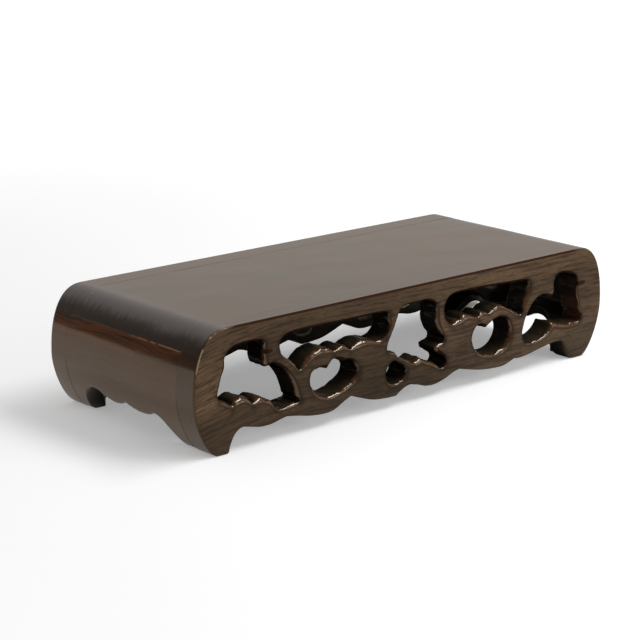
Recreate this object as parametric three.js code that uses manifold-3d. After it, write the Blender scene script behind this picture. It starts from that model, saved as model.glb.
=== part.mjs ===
// A low hardwood display stand with rounded scroll ends and pierced side panels.
// Millimetres, +Z up, +X along the stand, and the front panel faces -Y.
// The origin is on the floor, under the middle of the top.

import * as THREE from 'three';
import { mergeVertices } from 'three/addons/utils/BufferGeometryUtils.js';
import Module from 'manifold-3d';

// Overall sizes
const standLength = 356;
const standDepth = 143;
const standHeight = 76.5;

// Boards
const panelThickness = 16.5;
const topBoardThickness = 14;
const endBoardThickness = 15;
const jointGap = 0.3;
const arris = 1.2;

// End profile: a rounded shoulder over a side that tucks in towards the foot
const widestHeight = 34.5;
const shoulderReach = 24;
const shoulderFullness = 2.4;
const shoulderSteps = 14;
const tuckReach = 18;
const tuckFullness = 1.57;
const tuckSteps = 10;

// Where the carving lies on a side panel
const windowSetback = 3;
const topRail = 11.5;
const footWidth = 8;
const carvingSteps = 1;

// Lower edge of an end board
const endFootWidth = 5.2;
const endCarvingSteps = 2;

// Dowels between the side panels and the other boards
const dowelDiameter = 6;
const dowelCover = 5.5;
const dowelClearance = 0.3;
const dowelSides = 12;
const innerStrutDowel = 21;
const outerStrutDowel = 118;
const lowerEndDowelHeight = 24;
const upperEndDowelDrop = 12.5;

// Loose tongues between the top board and the end boards
const tongueThickness = 3;
const tongueHeight = 9;
const tongueEndMargin = 9;
const tongueClearance = 0.3;

// Worked out from the sizes above
const halfLength = standLength / 2;
const innerDepth = standDepth - 2 * panelThickness;
const boardWidth = innerDepth - 2 * jointGap;
const jointHeight = standHeight - topBoardThickness;
const dowelReach = panelThickness - dowelCover;

// The carving as drawn, from the front: [x from the middle, z above the floor].
// Each outline is a list of runs. A run is one smooth curve, and runs meet in a corner.

const openings = [
  // Left window
  [
    [[-160, 38], [-157.5, 46], [-155, 52.5], [-154.5, 59], [-150.5, 63.2], [-145, 64.3], [-136, 64.5],
      [-128, 64]],
    [[-125.6, 61.5], [-125.2, 55], [-124.6, 49.5], [-123, 47], [-120.4, 47.4], [-118.6, 48.4]],
    [[-113.5, 45.5], [-108, 41], [-103.6, 35.5], [-100.6, 29.5], [-99, 24], [-97, 21.3]],
    [[-100.5, 20.6], [-106, 19.8], [-112, 19.3], [-115, 20]],
    [[-117, 23], [-119, 25.4], [-122.5, 26.8]],
    [[-125, 28.7], [-129, 29.2], [-133, 27.6]],
    [[-137, 30.6], [-142, 32], [-146, 31.4], [-149, 29.4]],
    [[-153, 31.2], [-158, 33.6], [-160, 38]],
  ],
  // Left slot
  [
    [[-112.5, 57], [-112.6, 60], [-110.5, 63], [-105, 64.2], [-85, 64.2], [-60, 63.8], [-38, 63.6],
      [-28, 63.2], [-24.8, 61.2], [-24, 57.5], [-23.4, 54], [-25, 50.3], [-28, 47.8], [-33.5, 46.6]],
    [[-39, 48], [-45, 48.8], [-51, 47.6], [-56, 45.8]],
    [[-59.5, 47.8], [-63, 48.7], [-69.5, 47.1]],
    [[-74, 49.2], [-79.8, 50.1], [-84.5, 49.2], [-89, 47], [-93, 43.8], [-97.5, 41]],
    [[-100, 43.5], [-103.5, 46.8], [-107.5, 50], [-110.8, 53], [-112.5, 57]],
  ],
  // Left heart
  [
    [[-88.6, 33], [-88, 36], [-85.5, 37.7], [-81, 38.2], [-77, 37.5], [-74.5, 36.5]],
    [[-73, 39.5], [-70.3, 41.8], [-66.5, 41.2], [-62, 38.6]],
    [[-58, 38.8], [-54.5, 37.2], [-51.6, 33.8], [-50.6, 30], [-52.3, 26.6], [-57.5, 23], [-64.5, 20.2],
      [-72, 19], [-79, 20.3], [-84, 23.8], [-87.5, 28.5], [-88.6, 33]],
  ],
  // Centre window
  [
    [[-25.2, 40.3], [-23.5, 44.5], [-20, 50.5], [-17.3, 55.5], [-16, 60], [-13.5, 63.6], [-9, 64.7],
      [0, 64.6], [8, 64.8], [13.5, 63.2], [17.5, 60.2]],
    [[18.4, 55], [18.5, 49.5], [20.4, 44.5], [23.4, 40]],
    [[25.2, 37.6], [24.6, 35.2], [21.5, 34.2], [17.4, 33]],
    [[18.4, 30], [22, 27.2], [26, 24.6], [27.6, 21.8], [26, 19.3], [22.8, 18.8], [19.5, 20.8],
      [15.5, 23.4], [11, 25], [7.8, 26.6], [5, 28.4]],
    [[0.5, 26.8], [-3, 27.2], [-8, 29.2], [-14.8, 31.9]],
    [[-16, 34], [-17.6, 36], [-20.5, 36.8], [-23.8, 37.6], [-25.2, 40.3]],
  ],
  // Centre eye
  [
    [[-25.4, 23], [-24.3, 27.2], [-21.5, 30], [-18.3, 30.2], [-14, 28], [-10.2, 25.4], [-8.6, 22],
      [-10.3, 18.6], [-14, 16.6], [-18.5, 15.8], [-22.8, 17.8], [-25.4, 23]],
  ],
  // Right slot
  [
    [[25.5, 56], [26, 60], [28.8, 63.6], [34, 65], [46, 65], [62, 64.6], [80, 63.7], [94, 63.2],
      [101.5, 62.8]],
    [[104, 59.5], [103.4, 54], [101, 49.5], [99.6, 45.5], [98.6, 42.4], [96.5, 40.8]],
    [[92.5, 43], [86, 46.3], [80, 49.3], [75.5, 50.2], [70.5, 48.9], [66, 47]],
    [[63, 48.2], [60, 48.6], [57, 46.6]],
    [[53, 46.9], [48.5, 48.9], [44, 49.2], [41, 47.2]],
    [[37.5, 47], [33, 45.8], [29.5, 47.6], [27, 51], [25.5, 56]],
  ],
  // Right heart
  [
    [[51.6, 32], [52.3, 36.2], [54.8, 39.6], [58, 40.4], [61.5, 38.5], [64.5, 37]],
    [[67.5, 39], [71, 41.2], [76, 42], [81, 41], [85.2, 37.5], [87.4, 32], [87, 27], [84.3, 22.8],
      [80, 19.8], [74.5, 18.2], [68.5, 18.2], [62, 19.8], [57, 22.6], [53.4, 27], [51.6, 32]],
  ],
  // Right window
  [
    [[98.8, 27], [100, 32], [101.8, 37], [104.5, 41.2], [108, 45.5], [112, 48.6], [117, 50],
      [121.5, 49.2], [125, 47.6]],
    [[127.8, 47.2], [129.8, 49], [129.6, 52], [128.6, 56], [130, 60.5], [134.5, 62.4], [141, 61.6],
      [147.5, 59.7], [151.8, 57], [153.2, 53], [152.6, 48.5], [153.2, 43.5], [155, 38.5], [155.4, 34.5]],
    [[157.6, 31], [158, 28], [155.5, 26.2], [150, 25.6], [143, 25.7], [136.5, 27], [129, 29]],
    [[127.6, 26.6], [125, 23.8], [120.5, 21.2], [114, 19.6], [107.5, 19], [103, 20.4], [100, 23.4],
      [98.8, 27]],
  ],
];

// Lower edge of a panel, from the inside of the left foot to the inside of the right foot
const apron = [
  [[-152, 0], [-150, 4.5], [-147.5, 9.5], [-144.5, 12.8], [-141, 14.1]],
  [[-134, 12.4], [-127, 11], [-119, 11], [-113, 12.2], [-107.5, 13.2]],
  [[-99, 11.8], [-88, 9.5], [-77, 8.4], [-69, 9.2], [-61.5, 12.6], [-55, 15.3]],
  [[-46, 12], [-36, 8.9], [-26, 7.7], [-16.5, 7.3]],
  [[-12.8, 9.6], [-8.5, 11.6], [-4, 12.4]],
  [[3, 10.8], [10, 8.6], [18, 8.1], [27, 10], [34.5, 12.7], [40, 14]],
  [[50, 11.6], [62, 9.2], [78, 7.9], [86, 8.9], [92, 11.1]],
  [[98, 10.5], [107, 11.3], [120, 13.5], [132, 15], [139, 14.6]],
  [[141.3, 12], [144, 6.5], [147, 2.2], [150, 0]],
];

// Half of the lower edge of an end board, from its middle to its foot: [y, z]
const endApron = [
  [[0, 18.8], [3.5, 17], [7.5, 15.8], [11.5, 15.6], [16, 16.4], [21, 17.8]],
  [[25, 20], [30, 20.8], [35.5, 19.6], [40.5, 15.6], [44.5, 9.5], [47, 4], [49.5, 0]],
];

// How far the drawn outlines are stretched to fit the sizes at the top
function furthest(outlines, axis) {
  return Math.max(...outlines.flat(2).map((point) => Math.abs(point[axis])));
}

const windowEnd = halfLength - endBoardThickness - windowSetback;
const openingStretch = windowEnd / furthest(openings, 0);
const apronStretch = (halfLength - tuckReach - footWidth) / furthest([apron], 0);
const endApronStretch = (boardWidth / 2 - endFootWidth) / furthest([endApron], 0);
const heightStretch = (standHeight - topRail) / furthest(openings, 1);

function outlinePoints(runs, steps, stretch) {
  // Walks the runs, each a spline that starts where the last one ended
  const place = ([across, z]) => new THREE.Vector2(across * stretch, z * heightStretch);
  const path = new THREE.Path();
  const [first, ...rest] = runs[0].map(place);
  path.moveTo(first.x, first.y);
  path.splineThru(rest);
  for (const run of runs.slice(1)) path.splineThru(run.map(place));
  return path.getPoints(steps);
}

// End profile, from the top of the shoulder down to the floor, at the +X end

function superellipse(reach, rise, fullness, steps) {
  // A quarter, from (0, rise) to (reach, 0)
  return Array.from({ length: steps + 1 }, (_, i) => {
    const angle = (Math.PI / 2) * (1 - i / steps);
    const x = reach * Math.max(Math.cos(angle), 0) ** (2 / fullness);
    return new THREE.Vector2(x, rise * Math.sin(angle) ** (2 / fullness));
  });
}

function endProfile() {
  const shoulderRise = standHeight - widestHeight;
  const shoulder = superellipse(shoulderReach, shoulderRise, shoulderFullness, shoulderSteps)
    .map((p) => new THREE.Vector2(halfLength - shoulderReach + p.x, widestHeight + p.y));
  const tuck = superellipse(tuckReach, widestHeight, tuckFullness, tuckSteps)
    .map((p) => new THREE.Vector2(halfLength - tuckReach + p.x, widestHeight - p.y));
  return [...shoulder, ...tuck.reverse().slice(1)];
}

function profileX(height) {
  // Half of the stand's length at a height
  const points = endProfile();
  const i = points.findIndex((p) => p.y <= height);
  const [above, below] = [points[Math.max(i - 1, 0)], points[i]];
  const share = (above.y - height) / Math.max(above.y - below.y, Number.EPSILON);
  return above.x + share * (below.x - above.x);
}

function profileBetween(top, bottom) {
  const between = endProfile().filter((p) => p.y < top && p.y > bottom);
  const end = (height) => new THREE.Vector2(profileX(height), height);
  return [end(top), ...between, end(bottom)];
}

// Outlines

function mirrored(points) {
  return points.map((p) => new THREE.Vector2(-p.x, p.y)).reverse();
}

function withoutRepeats(points) {
  const least = 0.05;
  const kept = points.filter((p, i) => i === 0 || p.distanceTo(points[i - 1]) > least);
  if (kept[0].distanceTo(kept[kept.length - 1]) < least) kept.pop();
  return kept;
}

function wound(points, clockwise) {
  return THREE.ShapeUtils.isClockWise(points) === clockwise ? points : [...points].reverse();
}

function inset(points, distance) {
  // Moves an outline towards its left, with mitred corners
  const mitreLimit = 1.5;
  return points.map((point, i) => {
    const before = points[(i + points.length - 1) % points.length];
    const after = points[(i + 1) % points.length];
    const arriving = point.clone().sub(before).normalize();
    const leaving = after.clone().sub(point).normalize();
    const left = new THREE.Vector2(-arriving.y - leaving.y, arriving.x + leaving.x);
    const mitre = Math.min(2 / left.length(), mitreLimit);
    return point.clone().add(left.normalize().multiplyScalar(distance * mitre));
  });
}

// Solids

function toSolid(geometry) {
  const bare = geometry.clone();
  bare.deleteAttribute('normal');
  bare.deleteAttribute('uv');
  const merged = mergeVertices(bare, 1e-4);
  return new wasm.Manifold(new wasm.Mesh({
    numProp: 3,
    vertProperties: new Float32Array(merged.attributes.position.array),
    triVerts: new Uint32Array(merged.index.array),
  }));
}

function cut(geometry, cutters) {
  const solid = cutters.reduce((left, cutter) => left.subtract(toSolid(cutter)), toSolid(geometry));
  const mesh = solid.getMesh();
  const result = new THREE.BufferGeometry();
  result.setAttribute('position', new THREE.BufferAttribute(mesh.vertProperties, 3));
  result.setIndex(new THREE.BufferAttribute(mesh.triVerts, 1));
  result.computeVertexNormals();
  return result;
}

function prismAlongY(points, fromY, toY) {
  const shape = new THREE.Shape(points);
  const geometry = new THREE.ExtrudeGeometry(shape, { depth: toY - fromY, bevelEnabled: false });
  return geometry.rotateX(Math.PI / 2).translate(0, toY, 0);
}

function prismAlongX(points, fromX, toX) {
  const shape = new THREE.Shape(points);
  const geometry = new THREE.ExtrudeGeometry(shape, { depth: toX - fromX, bevelEnabled: false });
  return geometry.rotateX(Math.PI / 2).rotateZ(Math.PI / 2).translate(fromX, 0, 0);
}

function panelPlate(outline, holes) {
  // The outer face is at y = 0, with an arris on each of its edges. The inner face is at
  // y = panelThickness.
  const contours = [wound(outline, false), ...holes.map((hole) => wound(hole, true))];
  const faceContours = contours.map((contour) => inset(contour, arris));
  const layers = [[faceContours, 0], [contours, arris], [contours, panelThickness]];
  const positions = layers.flatMap(([loops, y]) => loops.flat().flatMap((p) => [p.x, y, p.y]));
  const perLayer = contours.flat().length;
  const index = [];
  for (let layer = 0; layer < layers.length - 1; layer += 1) {
    let start = layer * perLayer;
    for (const contour of contours) {
      for (let i = 0; i < contour.length; i += 1) {
        const here = start + i;
        const next = start + ((i + 1) % contour.length);
        index.push(here, here + perLayer, next + perLayer);
        index.push(here, next + perLayer, next);
      }
      start += contour.length;
    }
  }
  const outerFace = THREE.ShapeUtils.triangulateShape(faceContours[0], faceContours.slice(1));
  const innerFace = THREE.ShapeUtils.triangulateShape(contours[0], contours.slice(1));
  const innerStart = (layers.length - 1) * perLayer;
  index.push(...outerFace.flat());
  index.push(...innerFace.flatMap(([a, b, c]) => [innerStart + a, innerStart + c, innerStart + b]));
  const geometry = new THREE.BufferGeometry();
  geometry.setAttribute('position', new THREE.Float32BufferAttribute(positions, 3));
  geometry.setIndex(index);
  return geometry;
}

// Dowels, which lie along Y across the joints at the inner faces of the panels.
// A place is [x, z], and the places are the same at both ends of the stand.

function topDowelPlaces() {
  const z = standHeight - topBoardThickness / 2;
  return [-outerStrutDowel, -innerStrutDowel, innerStrutDowel, outerStrutDowel]
    .map((x) => [x * openingStretch, z]);
}

function endDowelPlaces(side) {
  return [lowerEndDowelHeight, jointHeight - upperEndDowelDrop]
    .map((z) => [side * (profileX(z) - endBoardThickness / 2), z]);
}

function dowelRods(places, y, clearance) {
  const radius = dowelDiameter / 2 + clearance;
  const length = 2 * (dowelReach + clearance);
  return places.map(([x, z]) => new THREE.CylinderGeometry(radius, radius, length, dowelSides)
    .translate(x, y, z));
}

function dowelHoles(places, y) {
  return dowelRods(places, y, dowelClearance);
}

function tongue(side, clearance) {
  const box = new THREE.BoxGeometry(
    tongueThickness + 2 * clearance,
    boardWidth - 2 * tongueEndMargin + 2 * clearance,
    tongueHeight + 2 * clearance,
  );
  const x = profileX(jointHeight) - endBoardThickness / 2;
  return box.translate(side * x, 0, jointHeight - jointGap / 2);
}

// Boards

function sidePanel() {
  const right = endProfile();
  const lowerEdge = outlinePoints(apron, carvingSteps, apronStretch).reverse();
  const outline = withoutRepeats([...mirrored(right), ...right, ...lowerEdge]);
  const holes = openings
    .map((runs) => withoutRepeats(outlinePoints(runs, carvingSteps, openingStretch)));
  const places = [...topDowelPlaces(), ...endDowelPlaces(-1), ...endDowelPlaces(1)];
  return cut(panelPlate(outline, holes), dowelHoles(places, panelThickness));
}

function topBoard() {
  const right = profileBetween(standHeight, jointHeight);
  const outline = withoutRepeats([...mirrored(right), ...right]);
  const board = prismAlongY(outline, -boardWidth / 2, boardWidth / 2);
  const holes = [-1, 1].flatMap((face) => dowelHoles(topDowelPlaces(), (face * innerDepth) / 2));
  const grooves = [-1, 1].map((side) => tongue(side, tongueClearance));
  return cut(board, [...holes, ...grooves]);
}

function endApronCutter() {
  // Everything below the lower edge of an end board, between its feet
  const half = outlinePoints(endApron, endCarvingSteps, endApronStretch);
  const footSide = half[half.length - 1].x;
  const right = [...half, new THREE.Vector2(footSide, -standHeight)];
  return prismAlongX(withoutRepeats([...mirrored(right), ...right]), -standLength, standLength);
}

function endBoard(side) {
  const outer = profileBetween(jointHeight - jointGap, 0);
  const inner = outer.map((p) => new THREE.Vector2(p.x - endBoardThickness, p.y)).reverse();
  const section = withoutRepeats([...outer, ...inner]);
  const outline = side > 0 ? section : mirrored(section);
  const board = prismAlongY(outline, -boardWidth / 2, boardWidth / 2);
  const holes = [-1, 1].flatMap((face) => dowelHoles(endDowelPlaces(side), (face * innerDepth) / 2));
  return cut(board, [endApronCutter(), tongue(side, tongueClearance), ...holes]);
}

// Assembly

const panelColour = 0x5f4636;
const boardColour = 0x4a352b;
const dowelColour = 0xb08a5a;
const lacquerRoughness = 0.4;
const bareRoughness = 0.75;

const wasm = await Module();
wasm.setup();

const stand = new THREE.Group();

function add(name, geometry, color, roughness) {
  const material = new THREE.MeshStandardMaterial({ color, roughness, metalness: 0 });
  const mesh = new THREE.Mesh(geometry, material);
  mesh.name = name;
  stand.add(mesh);
  return mesh;
}

const panel = sidePanel();
const frontPanel = add('front_side_panel', panel, panelColour, lacquerRoughness);
frontPanel.position.y = -standDepth / 2;
const backPanel = add('back_side_panel', panel, panelColour, lacquerRoughness);
backPanel.position.y = standDepth / 2;
backPanel.rotation.z = Math.PI;

add('top_board', topBoard(), boardColour, lacquerRoughness);
for (const [end, side] of [['left', -1], ['right', 1]]) {
  add(`${end}_end_board`, endBoard(side), boardColour, lacquerRoughness);
  add(`${end}_loose_tongue`, tongue(side, 0), dowelColour, bareRoughness);
}

function addDowels(name, places, y) {
  dowelRods(places, y, 0)
    .forEach((rod, i) => add(`${name}_dowel_${i + 1}`, rod, dowelColour, bareRoughness));
}

for (const [name, y] of [['front', -innerDepth / 2], ['back', innerDepth / 2]]) {
  addDowels(`${name}_top`, topDowelPlaces(), y);
  addDowels(`${name}_left_end`, endDowelPlaces(-1), y);
  addDowels(`${name}_right_end`, endDowelPlaces(1), y);
}

export default stand;
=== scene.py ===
"""Looks of a low hardwood display stand: carved panels, shaped boards, wood and a plain studio.

Metres, +Z up, +X along the stand, and the front panel's outer face looks towards -Y.
"""

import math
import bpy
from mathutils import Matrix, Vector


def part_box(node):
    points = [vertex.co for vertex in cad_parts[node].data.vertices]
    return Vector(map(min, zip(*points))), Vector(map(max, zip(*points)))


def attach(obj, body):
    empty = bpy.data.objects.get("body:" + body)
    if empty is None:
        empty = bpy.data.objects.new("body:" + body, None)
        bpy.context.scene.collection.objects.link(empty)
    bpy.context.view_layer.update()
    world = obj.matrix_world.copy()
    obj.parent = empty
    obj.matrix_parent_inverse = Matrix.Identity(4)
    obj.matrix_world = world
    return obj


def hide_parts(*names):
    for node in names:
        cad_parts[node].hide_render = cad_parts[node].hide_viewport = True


bl_info = {
    "name": "Tabletop Display Stand",
    "version": (1, 0, 0),
    "blender": (4, 5, 0),
    "location": "View3D > Sidebar > Stand",
    "description": "Carved panels, boards, wood finishes and a studio round the stand's frame",
    "category": "Object",
}

import bpy
import numpy as np
from bpy.props import FloatProperty, FloatVectorProperty, PointerProperty
from mathutils import Matrix, Vector
from mathutils.geometry import delaunay_2d_cdt

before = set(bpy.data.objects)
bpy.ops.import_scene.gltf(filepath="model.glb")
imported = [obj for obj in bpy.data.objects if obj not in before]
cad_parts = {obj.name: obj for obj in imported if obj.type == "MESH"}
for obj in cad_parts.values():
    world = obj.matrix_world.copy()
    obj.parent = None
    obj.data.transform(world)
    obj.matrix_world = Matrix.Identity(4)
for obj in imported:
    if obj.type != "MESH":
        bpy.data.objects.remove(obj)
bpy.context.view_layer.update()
MM = 0.001

# Sizes that the CAD frame gives
HALF_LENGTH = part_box("front_side_panel")[1].x
HALF_DEPTH = -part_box("front_side_panel")[0].y
INNER_HALF_DEPTH = -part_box("front_side_panel")[1].y
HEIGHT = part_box("front_side_panel")[1].z
PANEL_THICKNESS = HALF_DEPTH - INNER_HALF_DEPTH
JOINT_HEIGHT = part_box("top_board")[0].z
BOARD_HALF_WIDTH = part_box("top_board")[1].y
END_BOARD_THICKNESS = 15 * MM

# End profile: a rounded shoulder over a side that tucks in towards the foot
WIDEST_HEIGHT = 34.5 * MM
SHOULDER_REACH = 24 * MM
SHOULDER_FULLNESS = 2.4
TUCK_REACH = 18 * MM
TUCK_FULLNESS = 1.57

# Dowels: a blind hole each side of a joint
DOWEL_HOLE_RADIUS = 3.3 * MM
DOWEL_HOLE_REACH = 11.3 * MM
DOWEL_HOLE_SIDES = 28

# The carving, in millimetres from the front: [x from the middle, z above the floor].
# Each outline is a list of runs. A run is one smooth curve, and runs meet in a corner.
OPENINGS = [
    # Left window
    [
        [[-160, 38], [-157.5, 46], [-155, 52.5], [-154.5, 59], [-150.5, 63.2], [-145, 64.3],
         [-136, 64.5], [-128, 64]],
        [[-125.6, 61.5], [-125.2, 55], [-124.6, 49.5], [-123, 47], [-120.4, 47.4],
         [-118.6, 48.4]],
        [[-113.5, 45.5], [-108, 41], [-103.6, 35.5], [-100.6, 29.5], [-99, 24], [-97, 21.3]],
        [[-100.5, 20.6], [-106, 19.8], [-112, 19.3], [-115, 20]],
        [[-117, 23], [-119, 25.4], [-122.5, 26.8]],
        [[-125, 28.7], [-129, 29.2], [-133, 27.6]],
        [[-137, 30.6], [-142, 32], [-146, 31.4], [-149, 29.4]],
        [[-153, 31.2], [-158, 33.6], [-160, 38]],
    ],
    # Left slot
    [
        [[-112.5, 57], [-112.6, 60], [-110.5, 63], [-105, 64.2], [-85, 64.2], [-60, 63.8],
         [-38, 63.6], [-28, 63.2], [-24.8, 61.2], [-24, 57.5], [-23.4, 54], [-25, 50.3],
         [-28, 47.8], [-33.5, 46.6]],
        [[-39, 48], [-45, 48.8], [-51, 47.6], [-56, 45.8]],
        [[-59.5, 47.8], [-63, 48.7], [-69.5, 47.1]],
        [[-74, 49.2], [-79.8, 50.1], [-84.5, 49.2], [-89, 47], [-93, 43.8], [-97.5, 41]],
        [[-100, 43.5], [-103.5, 46.8], [-107.5, 50], [-110.8, 53], [-112.5, 57]],
    ],
    # Left heart
    [
        [[-88.6, 33], [-88, 36], [-85.5, 37.7], [-81, 38.2], [-77, 37.5], [-74.5, 36.5]],
        [[-73, 39.5], [-70.3, 41.8], [-66.5, 41.2], [-62, 38.6]],
        [[-58, 38.8], [-54.5, 37.2], [-51.6, 33.8], [-50.6, 30], [-52.3, 26.6],
         [-57.5, 23], [-64.5, 20.2], [-72, 19], [-79, 20.3], [-84, 23.8], [-87.5, 28.5],
         [-88.6, 33]],
    ],
    # Centre window
    [
        [[-25.2, 40.3], [-23.5, 44.5], [-20, 50.5], [-17.3, 55.5], [-16, 60], [-13.5, 63.6],
         [-9, 64.7], [0, 64.6], [8, 64.8], [13.5, 63.2], [17.5, 60.2]],
        [[18.4, 55], [18.5, 49.5], [20.4, 44.5], [23.4, 40]],
        [[25.2, 37.6], [24.6, 35.2], [21.5, 34.2], [17.4, 33]],
        [[18.4, 30], [22, 27.2], [26, 24.6], [27.6, 21.8], [26, 19.3], [22.8, 18.8],
         [19.5, 20.8], [15.5, 23.4], [11, 25], [7.8, 26.6], [5, 28.4]],
        [[0.5, 26.8], [-3, 27.2], [-8, 29.2], [-14.8, 31.9]],
        [[-16, 34], [-17.6, 36], [-20.5, 36.8], [-23.8, 37.6], [-25.2, 40.3]],
    ],
    # Centre eye
    [
        [[-25.4, 23], [-24.3, 27.2], [-21.5, 30], [-18.3, 30.2], [-14, 28], [-10.2, 25.4],
         [-8.6, 22], [-10.3, 18.6], [-14, 16.6], [-18.5, 15.8], [-22.8, 17.8], [-25.4, 23]],
    ],
    # Right slot
    [
        [[25.5, 56], [26, 60], [28.8, 63.6], [34, 65], [46, 65], [62, 64.6], [80, 63.7],
         [94, 63.2], [101.5, 62.8]],
        [[104, 59.5], [103.4, 54], [101, 49.5], [99.6, 45.5], [98.6, 42.4], [96.5, 40.8]],
        [[92.5, 43], [86, 46.3], [80, 49.3], [75.5, 50.2], [70.5, 48.9], [66, 47]],
        [[63, 48.2], [60, 48.6], [57, 46.6]],
        [[53, 46.9], [48.5, 48.9], [44, 49.2], [41, 47.2]],
        [[37.5, 47], [33, 45.8], [29.5, 47.6], [27, 51], [25.5, 56]],
    ],
    # Right heart
    [
        [[51.6, 32], [52.3, 36.2], [54.8, 39.6], [58, 40.4], [61.5, 38.5], [64.5, 37]],
        [[67.5, 39], [71, 41.2], [76, 42], [81, 41], [85.2, 37.5], [87.4, 32], [87, 27],
         [84.3, 22.8], [80, 19.8], [74.5, 18.2], [68.5, 18.2], [62, 19.8], [57, 22.6],
         [53.4, 27], [51.6, 32]],
    ],
    # Right window
    [
        [[98.8, 27], [100, 32], [101.8, 37], [104.5, 41.2], [108, 45.5], [112, 48.6],
         [117, 50], [121.5, 49.2], [125, 47.6]],
        [[127.8, 47.2], [129.8, 49], [129.6, 52], [128.6, 56], [130, 60.5], [134.5, 62.4],
         [141, 61.6], [147.5, 59.7], [151.8, 57], [153.2, 53], [152.6, 48.5],
         [153.2, 43.5], [155, 38.5], [155.4, 34.5]],
        [[157.6, 31], [158, 28], [155.5, 26.2], [150, 25.6], [143, 25.7], [136.5, 27],
         [129, 29]],
        [[127.6, 26.6], [125, 23.8], [120.5, 21.2], [114, 19.6], [107.5, 19],
         [103, 20.4], [100, 23.4], [98.8, 27]],
    ],
]

# Lower edge of a panel, from the inside of the left foot to the inside of the right foot
APRON = [
    [[-152, 0], [-150, 4.5], [-147.5, 9.5], [-144.5, 12.8], [-141, 14.1]],
    [[-134, 12.4], [-127, 11], [-119, 11], [-113, 12.2], [-107.5, 13.2]],
    [[-99, 11.8], [-88, 9.5], [-77, 8.4], [-69, 9.2], [-61.5, 12.6], [-55, 15.3]],
    [[-46, 12], [-36, 8.9], [-26, 7.7], [-16.5, 7.3]],
    [[-12.8, 9.6], [-8.5, 11.6], [-4, 12.4]],
    [[3, 10.8], [10, 8.6], [18, 8.1], [27, 10], [34.5, 12.7], [40, 14]],
    [[50, 11.6], [62, 9.2], [78, 7.9], [86, 8.9], [92, 11.1]],
    [[98, 10.5], [107, 11.3], [120, 13.5], [132, 15], [139, 14.6]],
    [[141.3, 12], [144, 6.5], [147, 2.2], [150, 0]],
]

# Lower edge of the left end board, from its front foot to its back foot: [y, z]
END_APRON = [
    [[-47, 0], [-45, 3], [-43, 6.5], [-40.8, 10], [-38.4, 13], [-35.8, 15.8], [-32.5, 17.8],
     [-29, 18.6], [-26, 18.2]],
    [[-22.5, 16.4], [-18.5, 15.7], [-13.5, 15.6], [-9, 16.2], [-4.5, 17.2], [0, 18.8]],
    [[3.5, 17], [7.5, 15.8], [11.5, 15.6], [16, 16.4], [21, 17.8]],
    [[25, 20], [30, 20.8], [35.5, 19.6], [40.5, 15.6], [44.5, 9.5], [47, 4], [49.5, 0]],
]

# Lips are widest where an opening's edge faces this way, in X and Z: up and to the left
LIP_WAY = np.array([-0.55, 0.83])
# Share of a lip's width on the upright sides of each opening
SIDE_LIPS = [0.9, 1.0, 1.0, 0.65, 1.0, 1.0, 0.95, 0.35]

# Short cuts beside the openings of a panel: [x, z, half length, half width] in millimetres
INCISED = [[-123.2, 56.6, 5.0, 1.6], [156.2, 52.5, 5.6, 1.8]]

# Where the panels' grain starts to sink towards the left end, and how fast, per metre
GRAIN_TURN = -90 * MM
GRAIN_DROP = 1.42

# Tint of the woods' gloss
WARM_GLOSS = (1.0, 0.92, 0.76, 1.0)

# The inner sides of a panel's feet, which no board covers: height, and reach from the middle.
# The last is the share of their rounding on the side of the carved face.
FOOT_SIDE_HEIGHT = 14 * MM
FOOT_SIDE_FADE = 4 * MM
FOOT_SIDE_FROM = 138 * MM
FOOT_SIDE_TO = 151.5 * MM
FOOT_SIDE_FRONT = 0.7
# No lip is deeper than this, or wider than this share of the free room
MOST_LIP_DEPTH = 0.45 * PANEL_THICKNESS
ROOM_SHARE = 0.7
# End boards: upright part of the inner side above its foot, rounding of the lower edge, and
# width of the fine joint under the roll
UPRIGHT_FOOT = 6 * MM
END_LOWER_EDGE = 1.2 * MM
ROLL_JOINT_GAP = 0.1 * MM

# Superellipse powers of the roundings, where 2 is a circle
LIP_FULLNESS = 2.1
EDGE_FULLNESS = 2.2
BACK_FULLNESS = 2

# The carver's ripples: wavelength, share and seed of each
RIPPLES = [[6.5 * MM, 0.6, 11], [3.2 * MM, 0.4, 12]]
# The waves of the scraped boards
SCRAPED_WAVELENGTH = 38 * MM
SCRAPED_SEED = 5

# How finely the surfaces are divided
SPLINE_STEPS = 24
FINE_STEP = 0.1 * MM
ROOM_STRIDE = 10
EDGE_STEP = 0.7 * MM
FACE_STEP = 2.6 * MM
LIP_RINGS = 10
WALL_RINGS = 7
BACK_RINGS = 4
PROFILE_STEPS = 160
TOP_SLICES = 48
END_SLICES = 140
ROLL_STEPS = 44
LEVEL_STEPS = 120
UNDER_STEPS = 90
SIDE_STEPS = 70
CORNER_STEPS = 4
FOOT_STEPS = 5
# Distance of the rings that keep the shading straight beside a seam
SUPPORT_GAP = 0.2 * MM
# Points closer than this are one point, in metres
SAME_POINT = 1e-7


def srgb(red, green, blue):
    """Linear colour of 8-bit display values: the display curve undone for each channel."""
    value = np.array([red, green, blue]) / 255
    linear = np.where(value <= 0.04045, value / 12.92, ((value + 0.055) / 1.055) ** 2.4)
    return tuple(float(channel) for channel in linear)


# Settings that a user may change


def length(name, description, default):
    """A length setting of the stand, in metres."""
    return FloatProperty(
        name=name, description=description, default=default, min=0, unit="LENGTH", precision=5
    )


def colour(name, description, default):
    """A colour setting of the stand, linear."""
    return FloatVectorProperty(
        name=name, description=description, default=default, size=3, min=0, max=1,
        subtype="COLOR",
    )


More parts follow.
